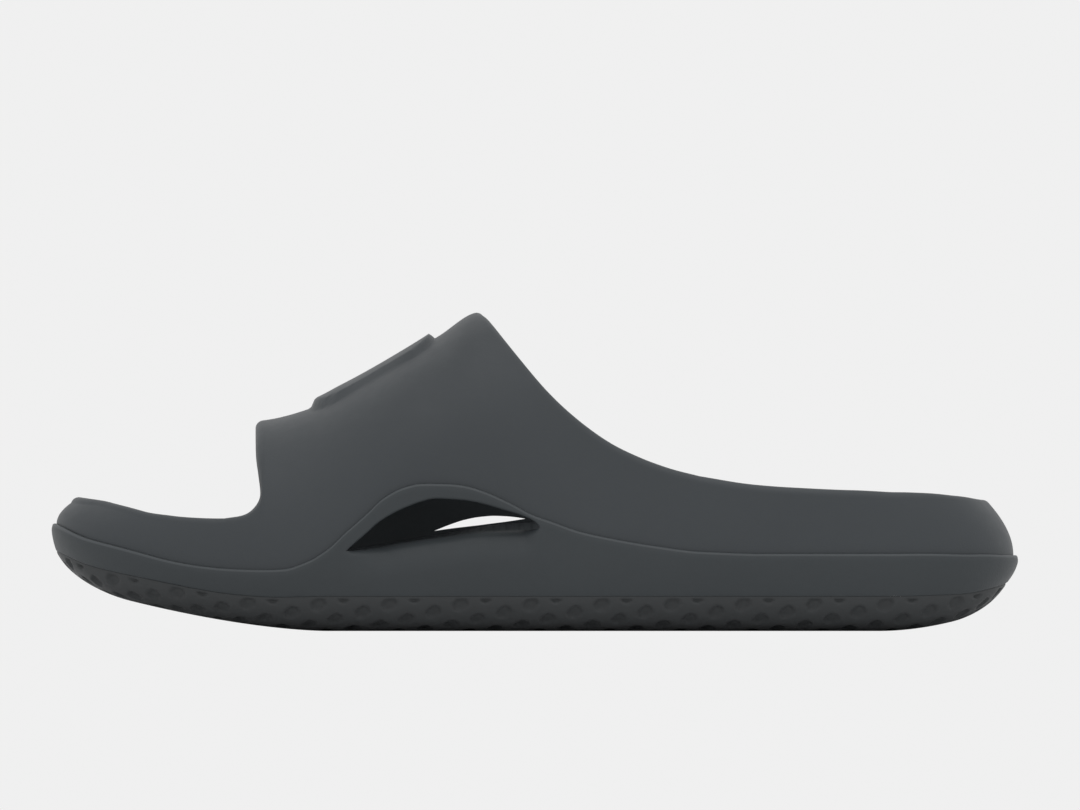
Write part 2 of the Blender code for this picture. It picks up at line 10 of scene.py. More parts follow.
import bmesh
import bpy
import numpy as np
from mathutils import Euler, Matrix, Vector


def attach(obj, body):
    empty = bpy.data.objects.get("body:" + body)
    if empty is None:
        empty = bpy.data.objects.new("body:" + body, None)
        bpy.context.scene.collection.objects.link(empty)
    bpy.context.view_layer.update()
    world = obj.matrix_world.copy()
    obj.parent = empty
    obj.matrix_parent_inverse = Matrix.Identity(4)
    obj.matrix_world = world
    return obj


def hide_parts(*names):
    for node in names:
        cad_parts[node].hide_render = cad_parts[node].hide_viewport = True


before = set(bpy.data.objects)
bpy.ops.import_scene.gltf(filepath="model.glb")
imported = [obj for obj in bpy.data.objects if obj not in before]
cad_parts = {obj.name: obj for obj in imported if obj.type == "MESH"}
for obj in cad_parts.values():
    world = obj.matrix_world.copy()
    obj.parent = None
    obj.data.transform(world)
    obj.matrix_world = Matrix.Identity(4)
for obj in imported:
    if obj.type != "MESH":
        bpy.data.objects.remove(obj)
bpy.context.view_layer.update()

# Sizes shared with the solids
LENGTH = 0.2912
BALL_WIDTH = 0.1083
HEEL_WIDTH = 0.078
TOE_ROUND = 0.062
HEEL_ROUND = 0.042
END_POWER = 2.3
TOE_SPRING = 0.0157
TOE_ROCKER = 0.083
TOE_ROCKER_POWER = 1.62
HEEL_SPRING = 0.0098
HEEL_ROCKER = 0.042
HEEL_ROCKER_POWER = 1.92
TOE_NOSE_RISE = 0.0120
TOE_NOSE = 0.024
HEEL_NOSE_RISE = 0.0122
HEEL_NOSE = 0.020
TREAD_HEIGHT = 0.0102
TREAD_ROUND = 0.0120
SIDE_DEPTH = 0.0133
SIDE_TUCK = 0.0016
HEEL_TUCK = 0.0024
PARTING_TUCK = 0.0006
ARCH_RISE = 0.0234
WALL = 0.0050
PARTING_STEP = 0.0010
RIM_RISE = 0.0172
STRAP_RISE = 0.0548
PAD_HEIGHT = 0.0017
PAD_FLARE = 0.55
PAD_LENGTH = 0.0376
PAD_WIDTH = 0.0400
PAD_PLACE = 0.3320
FRONT_STATION = 0.2187
FRONT_FOOT = 0.2450
PEAK_STATION = 0.4370
PEAK_FOOT = 0.4250
CUTOUT_HEIGHT = 0.0119
SCOOP_DEPTH = 0.0042
FOOTBED_HEIGHT = 0.0280
FOOTBED_THICKNESS = 0.0040
HEEL_CUP = 0.0022
ARCH_SUPPORT = 0.0026
CLEARANCE = 0.0003
FIT = 0.0008
CUP_POWER = 2.5
FOOTBED_GAP = 2.5 * FIT
HEEL_TUCK_START = 0.9
HEEL_TUCK_RUN = 0.1
PARTING_ROLL = 4 * PARTING_TUCK
SCOOP_DROP = 0.75 * SIDE_DEPTH
SCOOP_RUN_IN = 0.045
SCOOP_RUN_OUT = 0.020
FOOT_EASE = 4 * WALL
EDGE_CROWDING = 1.6
LATERAL = -1
MEDIAL = 1

# Sizes that differ from the solids'
TREAD_STEP = 0.0001
PAD_BEVEL = 0.0018

# Fineness and small forms of the skins
RIM_COLUMNS_TOE = 70
EDGE_COLUMNS_FRONT = 60
CROWN_COLUMNS = 70
EDGE_COLUMNS_THROAT = 80
RIM_COLUMNS_HEEL = 70
UPPER_ROWS = 44
ROLL_ROWS = 12
LIP_ROUND = 0.0007
LEDGE_GAP = 0.00005
CUTOUT_SOFT = 0.0022
CUTOUT_CRISP = 0.0008
CUTOUT_RUN = 0.006
SHELF_LEAD = 0.0002
WELD = 0.000002
PATH_STEPS = 40
STATION_NUDGE = 0.001
ANGLE_NUDGE = 0.01
LIP_POINTS = 6
FLAT_STRIPS = 4
DECK_STRIPS = 40
FOOTBED_STRIPS = 80
OUTLINE_POINTS = 4001
OUTLINE_INSET = 0.004
TREAD_COLUMNS = 520
TREAD_ROWS = 34
TREAD_BAND = 0.0070
TREAD_BAND_ROWS = 10
TREAD_ACROSS = 88
BELOW_ROWS = 44
ABOVE_ROWS = 26
INNER_ROWS = 12
OPEN_LIMIT = 0.98
CELL_PERIOD = 0.02115
CELL_STEP = (0.0081, 0.0027)
CELL_START = (0.0790, 0.0104)
CELL_RIDGE = 0.0016
CELL_RAMP = 0.0009
CELL_DEPTH = 0.0010
CELL_REACH = 4
SIDE_MARGIN = 0.0004
SIDE_RAMP = 0.0006
FIELD_MARGIN = 0.0012
FIELD_RAMP = 0.0010

# Looks: linear colours, the foam's grains per metre and its grain's depth in metres
UPPER_COLOUR = (0.042, 0.048, 0.053)
MIDSOLE_COLOUR = (0.036, 0.042, 0.046)
# The tread's colour is its dark foam grey, lightened to paint in fill light on the underside that turns
# towards the floor.
TREAD_COLOUR_WITH_PAINTED_FILL = (0.035, 0.038, 0.040)
FOOTBED_COLOUR = (0.038, 0.044, 0.048)
# Lighter tone for the midsole's rounded lip: a painted highlight of the overhead light along the parting
# line.
LIP_HIGHLIGHT_COLOUR = (0.058, 0.065, 0.070)
FLOOR_COLOUR = (0.85, 0.85, 0.85)
FOAM_GRAIN = 1500
FOAM_GRAIN_DEPTH = 0.00006
FOOTBED_GRAIN = 1200
FOOTBED_GRAIN_DEPTH = 0.00008
FOOTBED_DOTS = 260
TONE_SPREAD = (0.94, 1.05)

# Studio and camera
WORLD_STRENGTH = 0.87
FLOOR_REACH = 3
OVERHEAD_PLACE = (0.15, -0.35, 1.2)
OVERHEAD_SIZE = (1.4, 1.0)
OVERHEAD_POWER = 3.5
OVERHEAD_TARGET = (0.02, 0, 0.03)
CAMERA_DISTANCE = 2.0
PIXEL = 0.000301
PHOTO_WIDTH = 1080
PHOTO_HEIGHT = 810
SHOE_MIDDLE_PIXEL = 535
FLOOR_PIXEL = 631

Plan = namedtuple("Plan", "station centre ball heel")
PLAN = [
    Plan(0.00, 0.050, 0.86, 0.000),
    Plan(0.12, 0.040, 0.91, 0.000),
    Plan(0.28, 0.010, 1.00, 0.000),
    Plan(0.40, -0.010, 0.97, 0.000),
    Plan(0.55, -0.024, 0.45, 0.540),
    Plan(0.70, -0.020, 0.12, 0.895),
    Plan(0.85, -0.006, 0.00, 1.020),
    Plan(1.00, 0.000, 0.00, 0.970),
]
Tread = namedtuple("Tread", "station rise")
TREAD = [
    Tread(0.000, 0.80), Tread(0.035, 0.655), Tread(0.100, 0.725), Tread(0.170, 0.765), Tread(0.220, 0.845),
    Tread(0.287, 1.00), Tread(0.855, 1.00), Tread(0.880, 0.970), Tread(0.910, 0.88), Tread(0.960, 0.60),
    Tread(1.000, 0.43),
]
Parting = namedtuple("Parting", "station side arch")
PARTING = [
    Parting(0.000, 0.64, 0.000), Parting(0.056, 0.62, 0.000), Parting(0.128, 0.54, 0.000),
    Parting(0.206, 0.61, 0.000), Parting(0.240, 0.65, 0.000), Parting(0.2635, 0.68, 0.066),
    Parting(0.285, 0.70, 0.209), Parting(0.305, 0.72, 0.427), Parting(0.325, 0.74, 0.635),
    Parting(0.344, 0.76, 0.842), Parting(0.363, 0.78, 0.958), Parting(0.381, 0.80, 1.000),
    Parting(0.409, 0.83, 0.982), Parting(0.427, 0.85, 0.947), Parting(0.448, 0.87, 0.858),
    Parting(0.474, 0.89, 0.703), Parting(0.497, 0.91, 0.540), Parting(0.518, 0.93, 0.437),
    Parting(0.544, 0.95, 0.310), Parting(0.570, 0.97, 0.223), Parting(0.621, 0.99, 0.099),
    Parting(0.675, 1.00, 0.013), Parting(0.730, 0.98, 0.000), Parting(0.880, 0.98, 0.000),
    Parting(0.930, 0.94, 0.000), Parting(0.960, 0.88, 0.000), Parting(1.000, 0.65, 0.000),
]
Crown = namedtuple("Crown", "station rim strap bow")
CROWN = [
    Crown(0.00, 1.0, 0.37, 3.10), Crown(0.06, 1.0, 0.37, 2.00), Crown(0.14, 1.0, 0.385, 1.10),
    Crown(0.218, 1.0, 0.414, 0.86), Crown(0.265, 1.0, 0.475, 0.86), Crown(0.30, 1.0, 0.577, 0.86),
    Crown(0.352, 1.0, 0.733, 0.86), Crown(0.400, 1.0, 0.876, 0.86), Crown(0.4385, 1.0, 1.006, 0.86),
    Crown(0.52, 1.0, 1.07, 0.86), Crown(0.62, 1.0, 1.07, 0.90), Crown(0.80, 1.0, 0.95, 1.00),
    Crown(0.93, 1.0, 0.80, 2.80), Crown(1.00, 1.0, 0.72, 5.20),
]
Edge = namedtuple("Edge", "station rim strap")
TOE_RIM = [
    Edge(0.000, 0.360, 0.0), Edge(0.032, 0.545, 0.0), Edge(0.057, 0.570, 0.0), Edge(0.080, 0.578, 0.0),
    Edge(0.111, 0.646, 0.0), Edge(0.142, 0.710, 0.0), Edge(0.175, 0.766, 0.0),
]
FRONT_EDGE = [
    Edge(0.175, 0.766, 0.0), Edge(0.198, 0.850, 0.0), Edge(0.2120, 0.985, 0.0), Edge(0.221, 1.000, 0.060),
    Edge(0.224, 1.000, 0.130), Edge(0.222, 1.000, 0.239), Edge(0.2195, 1.000, 0.349),
]
THROAT_EDGE = [
    Edge(0.4466, 1.0, 0.622), Edge(0.478, 1.0, 0.4905), Edge(0.509, 1.0, 0.369), Edge(0.5415, 1.0, 0.266),
    Edge(0.5737, 1.0, 0.180), Edge(0.6058, 1.0, 0.125), Edge(0.638, 1.0, 0.087), Edge(0.669, 1.0, 0.063),
]
HEEL_RIM = [
    Edge(0.669, 1.00, 0.063), Edge(0.7147, 1.0, 0.033), Edge(0.7635, 1.0, 0.012), Edge(0.8268, 0.993, 0.0),
    Edge(0.8734, 0.970, 0.0), Edge(0.920, 0.970, 0.0), Edge(0.951, 0.955, 0.0), Edge(1.000, 0.913, 0.0),
]
Cutout = namedtuple("Cutout", "station lip open")
LATERAL_CUTOUT = [
    Cutout(0.3045, 1.045, 0.00), Cutout(0.324, 1.080, 0.37), Cutout(0.340, 1.130, 0.655),
    Cutout(0.360, 1.215, 0.84), Cutout(0.381, 1.290, 0.96), Cutout(0.393, 1.325, 1.00),
    Cutout(0.414, 1.390, 0.92), Cutout(0.440, 1.480, 0.74), Cutout(0.464, 1.505, 0.55),
    Cutout(0.487, 1.520, 0.36), Cutout(0.500, 1.540, 0.18), Cutout(0.5055, 1.580, 0.00),
]
MEDIAL_CUTOUT = [
    Cutout(0.3960, 1.500, 0.00), Cutout(0.4120, 1.550, 0.10), Cutout(0.4270, 1.590, 0.175),
    Cutout(0.4410, 1.625, 0.205), Cutout(0.4530, 1.660, 0.195), Cutout(0.4690, 1.705, 0.14),
    Cutout(0.4800, 1.740, 0.075), Cutout(0.4900, 1.775, 0.00),
]
CUTOUTS = {LATERAL: LATERAL_CUTOUT, MEDIAL: MEDIAL_CUTOUT}
Footbed = namedtuple("Footbed", "station middle cup support")
FOOTBED = [
    Footbed(0.00, 1.055, 0.40, 0.00), Footbed(0.09, 0.950, 0.30, 0.00), Footbed(0.15, 0.885, 0.30, 0.00),
    Footbed(0.22, 0.860, 0.25, 0.00), Footbed(0.30, 0.865, 0.10, 0.10), Footbed(0.36, 0.920, 0.00, 0.45),
    Footbed(0.42, 1.000, 0.00, 0.80), Footbed(0.47, 1.065, 0.00, 1.00), Footbed(0.55, 1.080, 0.25, 0.80),
    Footbed(0.67, 1.060, 0.60, 0.30), Footbed(0.80, 1.020, 0.90, 0.00), Footbed(0.90, 1.000, 1.00, 0.00),
    Footbed(1.00, 1.030, 1.00, 0.00),
]


def ease(value):
    """Soft step from 0 to 1."""
    value = np.clip(value, 0.0, 1.0)
    return value * value * (3.0 - 2.0 * value)


def read(table, column, station):
    """Smooth reading of one column: cubic pieces that never overshoot their rows."""
    x = np.array([row.station for row in table])
    y = np.array([getattr(row, column) for row in table], float)
    slopes = np.diff(y) / np.diff(x)
    product = slopes[:-1] * slopes[1:]
    total = slopes[:-1] + slopes[1:]
    inner = np.where(product > 0, 2 * product / np.where(total == 0, 1, total), 0)
    tangents = np.concatenate([slopes[:1], inner, slopes[-1:]])
    s = np.clip(station, x[0], x[-1])
    i = np.clip(np.searchsorted(x, s, side="right") - 1, 0, len(x) - 2)
    step = x[i + 1] - x[i]
    t = (s - x[i]) / step
    return (y[i] * (2 * t ** 3 - 3 * t ** 2 + 1) + tangents[i] * step * (t ** 3 - 2 * t ** 2 + t)
            + y[i + 1] * (3 * t ** 2 - 2 * t ** 3) + tangents[i + 1] * step * (t ** 3 - t ** 2))


def path_through(points, shares):
    """Points at shares of the length of a smooth curve through the points."""
    points = np.array(points, float)
    ends = np.vstack([2 * points[0] - points[1], points, 2 * points[-1] - points[-2]])
    fine = []
    for k in range(1, len(ends) - 2):
        p0, p1, p2, p3 = ends[k - 1:k + 3]
        for t in np.linspace(0, 1, PATH_STEPS, endpoint=False):
            fine.append(0.5 * (2 * p1 + (p2 - p0) * t + (2 * p0 - 5 * p1 + 4 * p2 - p3) * t ** 2
                               + (3 * p1 - p0 - 3 * p2 + p3) * t ** 3))
    fine = np.array(fine + [points[-1]])
    lengths = np.concatenate([[0], np.cumsum(np.linalg.norm(np.diff(fine, axis=0), axis=1))])
    at = np.asarray(shares) * lengths[-1]
    return np.stack([np.interp(at, lengths, fine[:, 0]), np.interp(at, lengths, fine[:, 1])], axis=1)


def end_round(distance, length):
    """Half-width factor of a rounded end."""
    rest = np.clip(1.0 - distance / length, 0.0, 1.0)
    return np.maximum(0.0, 1.0 - rest ** END_POWER) ** (1.0 / END_POWER)


def along(station):
    return (station - 0.5) * LENGTH


def half_width(station):
    full = read(PLAN, "ball", station) * BALL_WIDTH / 2 + read(PLAN, "heel", station) * HEEL_WIDTH / 2
    return full * end_round(station * LENGTH, TOE_ROUND) * end_round((1 - station) * LENGTH, HEEL_ROUND)


def centre(station):
    return read(PLAN, "centre", station) * BALL_WIDTH


ALL = np.linspace(0, 1, 201)
SHIFT = -((centre(ALL) - half_width(ALL)).min() + (centre(ALL) + half_width(ALL)).max()) / 2


def spine(station):
    return np.clip(station, TOE_ROUND / LENGTH, 1 - HEEL_ROUND / LENGTH)


def reach(station):
    """Distance from the spine to the outline."""
    return np.hypot(along(station) - along(spine(station)), half_width(station))


def slant(station):
    """How much longer an inset gets when it is measured towards the spine."""
    before, after = np.clip(station - 0.002, 0.0005, 1), np.clip(station + 0.002, 0.0, 0.9995)
    run_x, run_y = along(after) - along(before), half_width(after) - half_width(before)
    out_x, out_y = along(station) - along(spine(station)), half_width(station)
    cross = np.abs(run_x * out_y - run_y * out_x) / (np.hypot(run_x, run_y) * np.hypot(out_x, out_y))
    return 1.0 / np.maximum(0.5, cross)


def plan_share(station, side, share):
    root = spine(station)
    x = along(root) + (along(station) - along(root)) * share
    outer = centre(station) + side * half_width(station)
    return x, centre(root) + (outer - centre(root)) * share + SHIFT


def plan(station, side, inset):
    """Plan point of a station, inset from the outline towards the spine."""
    return plan_share(station, side, 1.0 - inset * slant(station) / reach(station))


def rocker(x):
    toe = np.clip(1 - (x + LENGTH / 2) / TOE_ROCKER, 0, 1)
    heel = np.clip(1 - (LENGTH / 2 - x) / HEEL_ROCKER, 0, 1)
    return TOE_SPRING * toe ** TOE_ROCKER_POWER + HEEL_SPRING * heel ** HEEL_ROCKER_POWER


def ground(x):
    """Height of the sole's bottom."""
    toe = np.clip(1 - (x + LENGTH / 2) / TOE_NOSE, 0, 1)
    heel = np.clip(1 - (LENGTH / 2 - x) / HEEL_NOSE, 0, 1)
    noses = TOE_NOSE_RISE * (1 - np.sqrt(1 - toe ** 2)) + HEEL_NOSE_RISE * (1 - np.sqrt(1 - heel ** 2))
    return rocker(x) + noses


def tread_line(station):
    return rocker(along(station)) + read(TREAD, "rise", station) * TREAD_HEIGHT


def parting_line(station):
    side = read(PARTING, "side", station) * SIDE_DEPTH
    return tread_line(station) + side + read(PARTING, "arch", station) * ARCH_RISE


def crown_line(station):
    base = TREAD_HEIGHT + SIDE_DEPTH
    return base + read(CROWN, "rim", station) * RIM_RISE + read(CROWN, "strap", station) * STRAP_RISE


def pad(station, from_crown):
    """Height of the plain raised pad on the strap."""
    along_pad = np.abs((station - PAD_PLACE) * LENGTH) / (PAD_LENGTH / 2)
    across_pad = np.abs(from_crown) / (PAD_WIDTH / 2)
    inside = 1.0 - (along_pad ** 4 + across_pad ** 4) ** 0.25
    flare = 1.0 + PAD_FLARE * along_pad ** 2
    return PAD_HEIGHT * flare * ease(inside * PAD_LENGTH / 2 / PAD_BEVEL)


def dome(station, side, angle):
    """Outer face of the upper: angle 0 on the parting line, a right angle on the crown."""
    low = parting_line(station)
    base = 1.0 - (PARTING_TUCK + PARTING_STEP) * slant(station) / reach(station)
    share = base * np.maximum(0.0, np.cos(angle)) ** read(CROWN, "bow", station)
    lift = pad(station, share * half_width(station))
    x, y = plan_share(station, side, share)
    return np.stack([x, y, low + (crown_line(station) - low) * np.sin(angle) + lift], axis=-1)


def unit(v):
    return v / np.maximum(np.linalg.norm(v, axis=-1, keepdims=True), 1e-12)


def outward(station, side, angle):
    """Normal of the upper's outer face."""
    before, after = np.clip(station - STATION_NUDGE, 0, 1), np.clip(station + STATION_NUDGE, 0, 1)
    low, high = np.maximum(angle - ANGLE_NUDGE, 0), np.minimum(angle + ANGLE_NUDGE, np.pi / 2)
    run = dome(after, side, angle) - dome(before, side, angle)
    climb = dome(station, side, high) - dome(station, side, low)
    normal = np.cross(run, climb) * -side
    crown = np.stack([-run[..., 2], 0 * run[..., 1], run[..., 0]], axis=-1)
    tips = np.stack([-climb[..., 2], 0 * climb[..., 1], climb[..., 0]], axis=-1)
    tips = tips * (1 - 2 * station)[..., None]
    normal = np.where((angle >= np.pi / 2 - 1e-9)[..., None], crown, normal)
    normal = np.where(((station <= 0) | (station >= 1))[..., None], tips, normal)
    return unit(normal)


def edge_angle(station, height):
    """Angle of the dome at a height: 0 on the parting line, a right angle on the crown."""
    low = parting_line(station)
    return np.arcsin(np.clip((height - low) / (crown_line(station) - low), 0, 1))


def edge_height(rows, station):
    """Height of a free edge of the upper."""
    return (parting_line(station) + read(rows, "rim", station) * RIM_RISE
            + read(rows, "strap", station) * STRAP_RISE)


def edge_points(rows):
    """The rows of a free edge as points of the side view, both ways in shares of the length."""
    points = []
    for row in rows:
        height = parting_line(row.station) + row.rim * RIM_RISE + row.strap * STRAP_RISE
        points.append((row.station, height / LENGTH))
    return points


def columns():
    """(foot station, top station, angle) of each column of the upper, from toe to heel."""
    t = np.arange(RIM_COLUMNS_TOE) / RIM_COLUMNS_TOE
    s = TOE_RIM[-1].station * (1 - np.cos(np.pi / 2 * t))
    parts = [np.stack([s, s, edge_angle(s, edge_height(TOE_RIM, s))], axis=1)]
    t = np.arange(EDGE_COLUMNS_FRONT) / EDGE_COLUMNS_FRONT
    front = (FRONT_STATION, crown_line(FRONT_STATION) / LENGTH)
    p = path_through(edge_points(FRONT_EDGE) + [front], 1 - (1 - t) ** EDGE_CROWDING)
    foot = TOE_RIM[-1].station + (FRONT_FOOT - TOE_RIM[-1].station) * t
    parts.append(np.stack([foot, p[:, 0], edge_angle(p[:, 0], p[:, 1] * LENGTH)], axis=1))
    t = np.arange(CROWN_COLUMNS) / CROWN_COLUMNS
    foot = FRONT_FOOT + (PEAK_FOOT - FRONT_FOOT) * t
    top = FRONT_STATION + (PEAK_STATION - FRONT_STATION) * t
    parts.append(np.stack([foot, top, np.full(len(t), np.pi / 2)], axis=1))
    t = np.arange(EDGE_COLUMNS_THROAT) / EDGE_COLUMNS_THROAT
    peak = (PEAK_STATION, crown_line(PEAK_STATION) / LENGTH)
    p = path_through([peak] + edge_points(THROAT_EDGE), t ** EDGE_CROWDING)
    angle = edge_angle(p[:, 0], p[:, 1] * LENGTH)
    angle[0] = np.pi / 2
    foot = PEAK_FOOT + (HEEL_RIM[0].station - PEAK_FOOT) * t
    parts.append(np.stack([foot, p[:, 0], angle], axis=1))
    t = np.arange(RIM_COLUMNS_HEEL + 1) / RIM_COLUMNS_HEEL
    s = HEEL_RIM[0].station + (1 - HEEL_RIM[0].station) * np.sin(np.pi / 2 * t)
    parts.append(np.stack([s, s, edge_angle(s, edge_height(HEEL_RIM, s))], axis=1))
    return np.vstack(parts)


COLUMNS = columns()
FRONT = RIM_COLUMNS_TOE + EDGE_COLUMNS_FRONT
PEAK = FRONT + CROWN_COLUMNS


def under_tuck(station):
    """How far the sole's side stands in at the tread line, which is more round the heel."""
    heel = ease((station - HEEL_TUCK_START) / HEEL_TUCK_RUN)
    return SIDE_TUCK + HEEL_TUCK * heel * (1 - sideways(station))


def side_inset(station, side, height):
    """How far the sole's side stands in from the outline at a height."""
    low, high = tread_line(station), parting_line(station)
    climb = np.clip((height - low) / np.minimum(SIDE_DEPTH, high - low), 0, 1)
    tuck = under_tuck(station) * (1 - climb) ** 2
    tuck = tuck + PARTING_TUCK * np.clip(1 - (high - height) / PARTING_ROLL, 0, 1) ** 2
    return tuck + scoop(station, side, height)


def opening(station, side):
    """Heights of a cut-out's lip and top, which are the same where the wall is shut."""
    lip = tread_line(station) + read(CUTOUTS[side], "lip", station) * SIDE_DEPTH
    return lip, lip + read(CUTOUTS[side], "open", station) * CUTOUT_HEIGHT


def scoop(station, side, height):
    """Hollow that leads up to the lower lip of a cut-out."""
    rows = CUTOUTS[side]
    first, last = rows[0].station, rows[-1].station
    window = ease((station - first) / SCOOP_RUN_IN) * ease((last - station) / SCOOP_RUN_OUT)
    lip, top = opening(station, side)
    below = np.clip((height - lip + SCOOP_DROP) / SCOOP_DROP, 0, 1) ** 2
    above = np.clip((top - height) / np.maximum(top - lip, WELD), 0, 1)
    return SCOOP_DEPTH * window * np.where(height <= lip, below, above)


def inner_inset(station, height):
    """How far the inner face of the wall stands in from the outline at a height."""
    straight = PARTING_TUCK + PARTING_STEP
    low = parting_line(station)

    def lean(at):
        return reach(station) * (1 - np.cos(edge_angle(station, at)) ** read(CROWN, "bow", station))

    slope = (lean(height + FIT) - lean(height)) / FIT
    leaning = straight + lean(height) / slant(station) + WALL * np.hypot(1, slope)
    return np.where(height <= low, straight + WALL, leaning)


def sideways(station):
    """1 where the outline runs lengthwise, 0 at the tips of toe and heel."""
    return half_width(station) / reach(station)


def footbed_height(station, across):
    """Top of the footbed: across runs from -1 at the outer edge to 1 at the inner edge."""
    height = read(FOOTBED, "middle", station) * FOOTBED_HEIGHT
    rim = 1 - (1 - np.abs(across) ** CUP_POWER) * sideways(station)
    height = height + HEEL_CUP * read(FOOTBED, "cup", station) * rim
    support = read(FOOTBED, "support", station) * np.maximum(across, 0) ** 2 * sideways(station)
    return height + ARCH_SUPPORT * support


def point(x, y, z):
    return np.stack(np.broadcast_arrays(x, y, z), axis=-1)


class Skin:
    """Sheets of quads that are welded into one closed mesh."""

    def __init__(self):
        self.points = []
        self.faces = []
        self.tones = []
        self.count = 0

    def sheet(self, rows, tone=0):
        """Add a grid of points; tone is the index of its material."""
        rows = np.asarray(rows, float)
        n, m = rows.shape[:2]
        index = np.arange(n * m).reshape(n, m) + self.count
        quads = np.stack([index[:-1, :-1], index[:-1, 1:], index[1:, 1:], index[1:, :-1]], axis=-1)
        self.points.append(rows.reshape(-1, 3))
        self.faces.append(quads.reshape(-1, 4))
        self.tones += [tone] * quads[..., 0].size
        self.count += n * m

    def build(self, name, materials, sharp=50):
        """Weld the sheets; edges that turn by more than sharp degrees are drawn hard."""
        mesh = bpy.data.meshes.new(name)
        item = bpy.data.objects.new(name, mesh)
        bpy.context.collection.objects.link(item)
        mesh.from_pydata(np.vstack(self.points).tolist(), [], np.vstack(self.faces).tolist())
        for material in materials:
            mesh.materials.append(material)
        mesh.polygons.foreach_set("material_index", self.tones)
        skin = bmesh.new()
        skin.from_mesh(mesh)
        bmesh.ops.remove_doubles(skin, verts=skin.verts, dist=WELD)
        bmesh.ops.dissolve_degenerate(skin, edges=skin.edges, dist=WELD)
        bmesh.ops.recalc_face_normals(skin, faces=skin.faces)
        skin.to_mesh(mesh)
        skin.free()
        mesh.shade_smooth()
        if sharp:
            mesh.set_sharp_from_angle(angle=np.radians(sharp))
        return item


def rolled_edge(outer, inner, side):
    """Arcs from the outer to the inner face along one free edge."""
    middle, face = (outer + inner) / 2, (outer - inner) / 2
    tangent = np.zeros_like(outer)
    tangent[1:-1] = outer[2:] - outer[:-2]
    tangent[0] = (0, side, 0)
    tangent[-1] = (0, -side, 0)
    radius = np.linalg.norm(face, axis=1, keepdims=True)
    lift = unit(np.cross(face, tangent)) * radius * -side
    turn = np.linspace(0, np.pi, ROLL_ROWS + 1)[None, :, None]
    arcs = middle[:, None] + face[:, None] * np.cos(turn) + lift[:, None] * np.sin(turn)
    arcs[:, 0] = outer
    arcs[:, -1] = inner
    return arcs


def build_upper(material):
    """Hollow wall of the upper: outer face, inner face, foot and two rolled free edges."""
    skin = Skin()
    t = np.linspace(0, 1, UPPER_ROWS + 1)[None, :]
    foot, top, angle = (COLUMNS[:, c][:, None] for c in range(3))
    station = foot + (top - foot) * t
    turn = angle * t
    for side in (LATERAL, MEDIAL):
        outer = dome(station, side, turn)
        normal = outward(station, side, turn)
        normal[..., 2] *= ease((outer[..., 2] - parting_line(foot)) / FOOT_EASE)
        inner = outer - unit(normal) * WALL
        x, y = plan(foot[:, 0], side, PARTING_TUCK + PARTING_STEP + WALL)
        inner[:, 0] = point(x, y, parting_line(foot[:, 0]))
        skin.sheet(outer)
        skin.sheet(inner)
        skin.sheet(np.stack([outer[:, 0], inner[:, 0]], axis=1))
        skin.sheet(rolled_edge(outer[:FRONT + 1, -1], inner[:FRONT + 1, -1], side))
        skin.sheet(rolled_edge(outer[PEAK:, -1], inner[PEAK:, -1], side))
    return skin.build("upper_skin", [material])


def strips(stations, left_inset, right_inset, height, count):
    """Points straight across the shoe; height takes station, across and x."""
    across = np.linspace(-1, 1, count + 1)[None, :]
    lx, ly = plan(stations, LATERAL, left_inset)
    rx, ry = plan(stations, MEDIAL, right_inset)
    t = (across + 1) / 2
    x = lx[:, None] + (rx - lx)[:, None] * t
    y = ly[:, None] + (ry - ly)[:, None] * t
    return point(x, y, height(stations[:, None], across, x))


CUTOUT_ENDS = [(rows[0].station, rows[-1].station) for rows in CUTOUTS.values()]
SOLE_STATIONS = np.sort(np.concatenate([COLUMNS[:, 0], *CUTOUT_ENDS]))


def sole_joint(station, across, x):
    """Height of the flat faces where tread and midsole meet."""
    return tread_line(station) + CLEARANCE + 0 * x


def cells(u, v, period, step):
    """0 on the ridges and 1 in the pockets of a slanting honeycomb; u runs round, v across."""
    row = np.round(v / step[1])
    nearest = np.full(u.shape, np.inf)
    second = np.full(u.shape, np.inf)
    for k in range(-CELL_REACH, CELL_REACH + 1):
        at_v = (row + k) * step[1]
        shift = (row + k) * step[0]
        turn = np.round((u - shift) / period)
        for extra in (-1, 0, 1):
            distance = np.hypot(u - shift - (turn + extra) * period, v - at_v)
            second = np.minimum(second, np.maximum(distance, nearest))
            nearest = np.minimum(nearest, distance)
    return ease(((second - nearest) / 2 - CELL_RIDGE) / CELL_RAMP)


def even_stations(count):
    """Stations that are evenly spaced along one side's outline, and the length of that outline."""
    turn = np.linspace(0, np.pi, OUTLINE_POINTS)
    s = (1 - np.cos(turn)) / 2
    x, y = plan(s, LATERAL, OUTLINE_INSET)
    length = np.concatenate([[0], np.cumsum(np.hypot(np.diff(x), np.diff(y)))])
    fine = np.interp(np.linspace(0, length[-1], count + 1), length, s)
    fine[0], fine[-1] = 0, 1
    return fine, length[-1]


def press(rows, depth):
    """Move a grid of points in along its normals."""
    run = np.gradient(rows, axis=0)
    across = np.gradient(rows, axis=1)
    normal = unit(np.cross(run, across))
    return rows + normal * depth[..., None]


